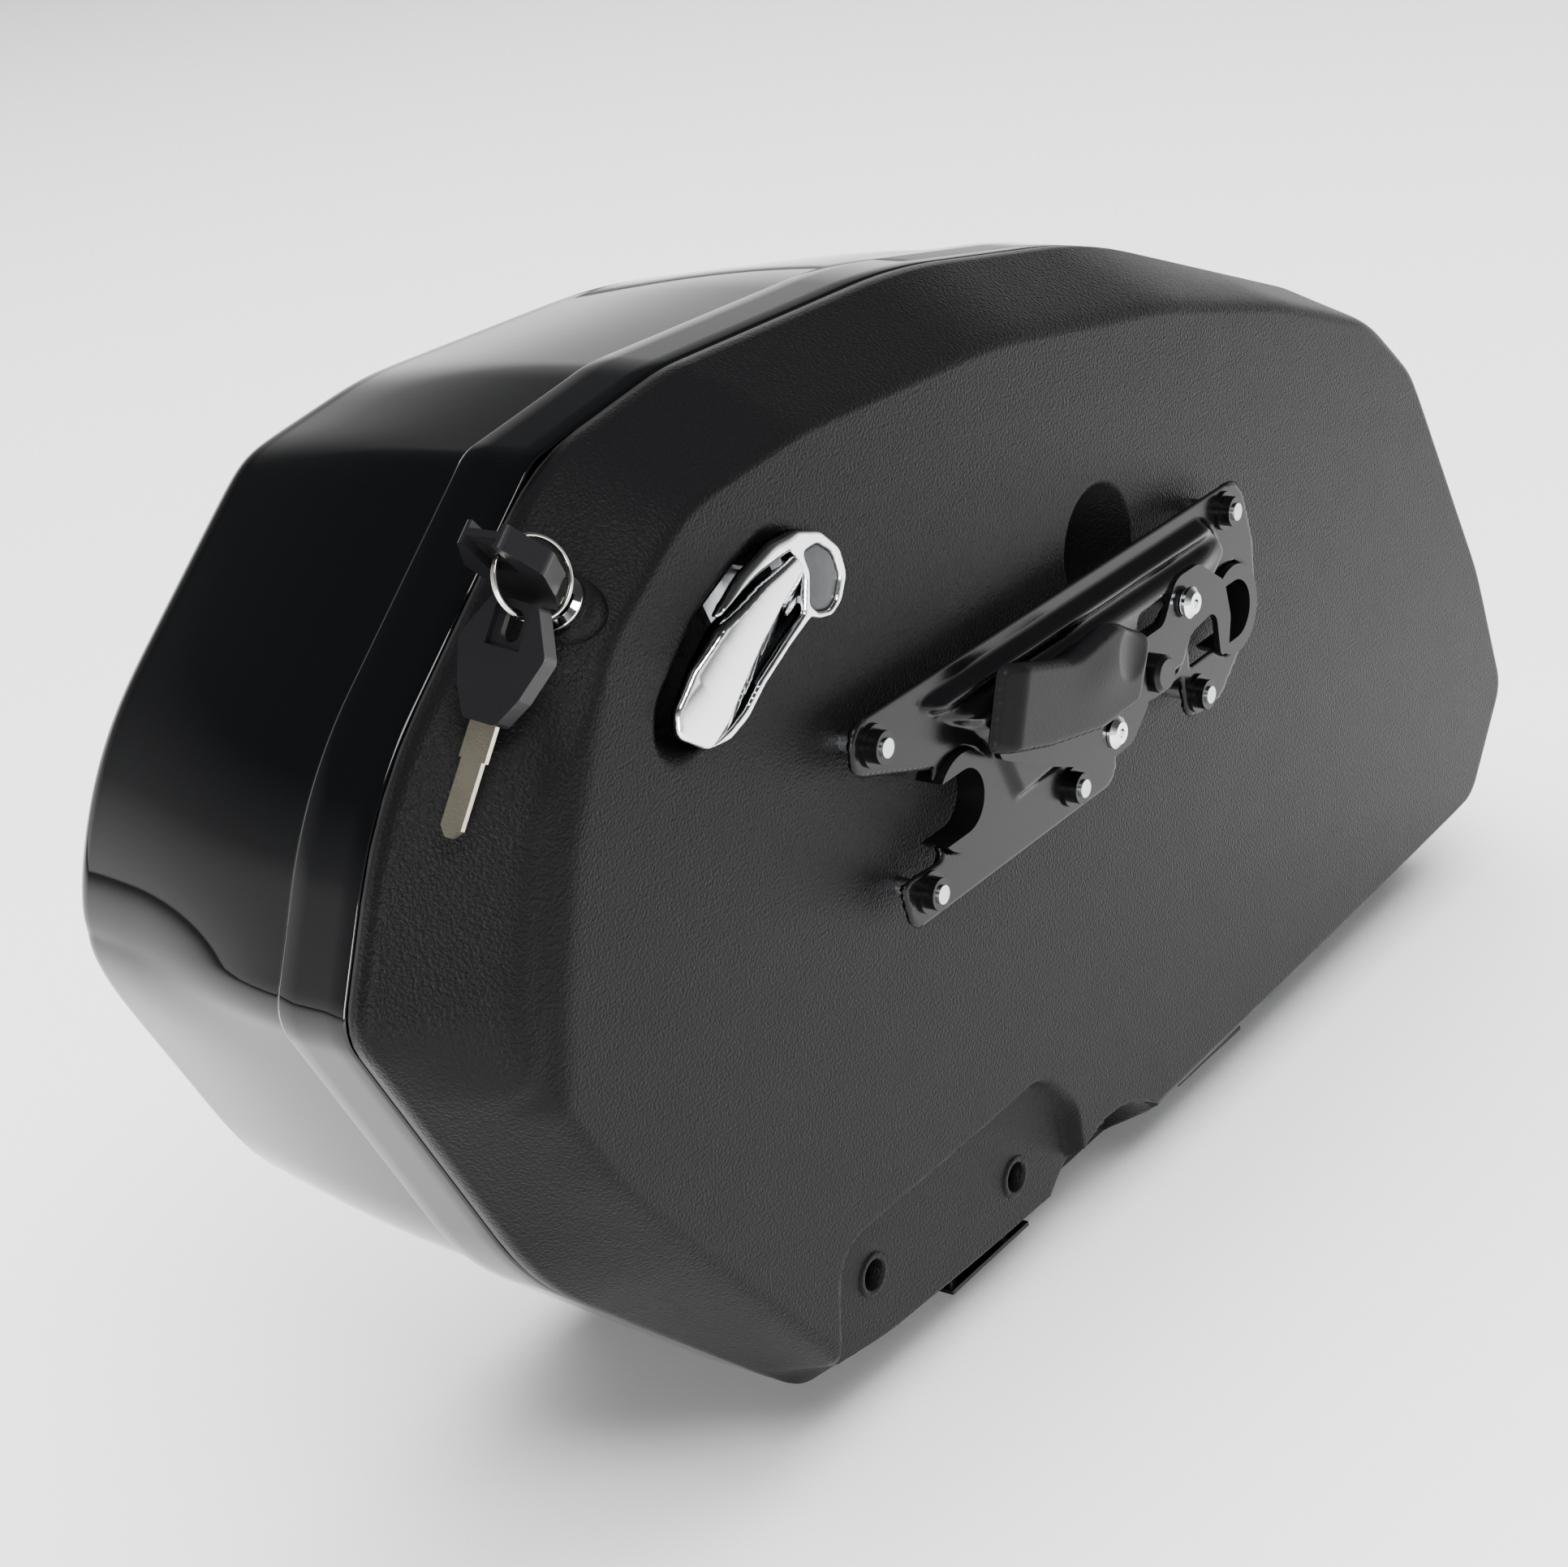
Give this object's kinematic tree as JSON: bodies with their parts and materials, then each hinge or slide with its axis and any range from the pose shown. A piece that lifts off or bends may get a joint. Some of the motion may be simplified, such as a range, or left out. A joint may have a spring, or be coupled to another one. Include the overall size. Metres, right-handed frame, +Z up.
{
  "type": "motorcycle hard saddlebag",
  "caption": "Hard side case with a grained base tray, deep gloss lid on a bottom hinge, quick-release docking plate, latch lever, key lock and keys on a ring.",
  "frame": {"origin": "on the axis of the front docking hook, at the hook's front rim", "axes": "+X along the bag from the front hook to the rear hook, +Y away from the motorcycle through the tray and the lid, +Z up as mounted"},
  "size_m": [0.6737, 0.2068, 0.3555],
  "materials": {
    "grained_plastic": "satin, fine moulded grain",
    "gloss_lid": "high gloss, painted black",
    "seal_rubber": "matte",
    "black_steel": "semi-gloss black coat on pressed steel",
    "black_nut": "satin black",
    "lever_plastic": "smooth satin black",
    "chrome": "polished",
    "pad_plastic": "satin dark grey",
    "zinc_steel": "zinc plated",
    "spring_steel": "plain spring wire",
    "ring_steel": "polished nickel plate",
    "nickel_silver": "nickel silver, satin",
    "key_plastic": "satin black moulding"
  },
  "bodies": {
    "tray": {"base_shell": "grained_plastic", "seam_gasket": "seal_rubber", "reinforcement_plate": "zinc_steel", "plate_bolts": "zinc_steel", "mount_plate": "black_steel", "hook_collars": "black_steel", "sleeve_nuts": "black_nut", "release_screw": "chrome", "pawl_screw": "chrome", "pawl_spring": "spring_steel", "latch_bezel": "chrome", "latch_pad": "pad_plastic", "lever_bracket": "zinc_steel", "lever_pin": "zinc_steel", "rod_guides": "zinc_steel", "rod_spring": "spring_steel", "lock_body": "chrome", "lock_nut": "zinc_steel", "hinge_base_leaves": "black_steel", "hinge_pins": "zinc_steel", "hinge_base_rivets": "zinc_steel"},
    "lid": {"lid_shell": "gloss_lid", "hinge_lid_leaves": "black_steel", "hinge_lid_rivets": "zinc_steel", "latch_striker": "zinc_steel", "lock_keeper": "zinc_steel"},
    "latch_handle": {"latch_lever": "chrome", "lever_crank": "zinc_steel"},
    "rod": {"latch_rod": "zinc_steel", "rod_collar": "zinc_steel"},
    "lock_turn": {"lock_plug": "zinc_steel", "lock_cam": "zinc_steel", "cam_screw": "zinc_steel", "key_bow": "key_plastic", "key_blade": "nickel_silver"},
    "ring": {"key_ring": "ring_steel"},
    "spare_key": {"spare_bow": "key_plastic", "spare_blade": "nickel_silver"},
    "release_handle": {"release_arm": "black_steel", "release_grip": "lever_plastic"},
    "pawl": {"latch_pawl": "black_steel", "pawl_knob": "black_nut"}
  },
  "joints": [
    {"name": "lid_hinge", "type": "hinge", "parent": "tray", "child": "lid", "pos_m": [0, 0.05, -0.1996], "axis": [-1, 0, 0], "range_deg": [0, 72]},
    {"name": "latch_pull", "type": "hinge", "parent": "tray", "child": "latch_handle", "pos_m": [-0.061, 0.017, 0.092], "axis": [-0.3987, 0, 0.9171], "range_deg": [0, 28], "stiffness_Nm_per_rad": 0.15, "springref_deg": -17.19},
    {"name": "rod_slide", "type": "slide", "parent": "tray", "child": "rod", "axis": [0.9171, 0, 0.3987], "range_m": [-0.01127, 0], "stiffness_N_per_m": 250, "springref_m": 0.008, "deforming": ["rod_spring"]},
    {"name": "key_turn", "type": "hinge", "parent": "tray", "child": "lock_turn", "pos_m": [-0.1435, 0.027, 0.1127], "axis": [-0.6548, 0, 0.7558], "range_deg": [0, 90]},
    {"name": "ring_swing", "type": "hinge", "parent": "lock_turn", "child": "ring", "pos_m": [-0.16184, 0.027, 0.13386], "axis": [0, -1, 0], "range_deg": [-2, 6]},
    {"name": "spare_swing", "type": "hinge", "parent": "ring", "child": "spare_key", "pos_m": [-0.16475, 0.02185, 0.1174], "axis": [0.097, -0.9793, -0.1778], "range_deg": [-8, 8]},
    {"name": "release_pull", "type": "hinge", "parent": "tray", "child": "release_handle", "pos_m": [0.079, -0.002, -0.007], "axis": [0, 1, 0], "range_deg": [0, 25]},
    {"name": "pawl_turn", "type": "hinge", "parent": "tray", "child": "pawl", "pos_m": [0.135, -0.002, 0.018], "axis": [0, -1, 0], "range_deg": [0, 40], "stiffness_Nm_per_rad": 0.06, "springref_deg": -22.92}
  ],
  "couplings": [
    {"joint": "rod_slide", "follows": "latch_pull", "m_per_rad": -0.023062},
    {"joint": "pawl_turn", "follows": "release_pull", "ratio": 1.6}
  ]
}
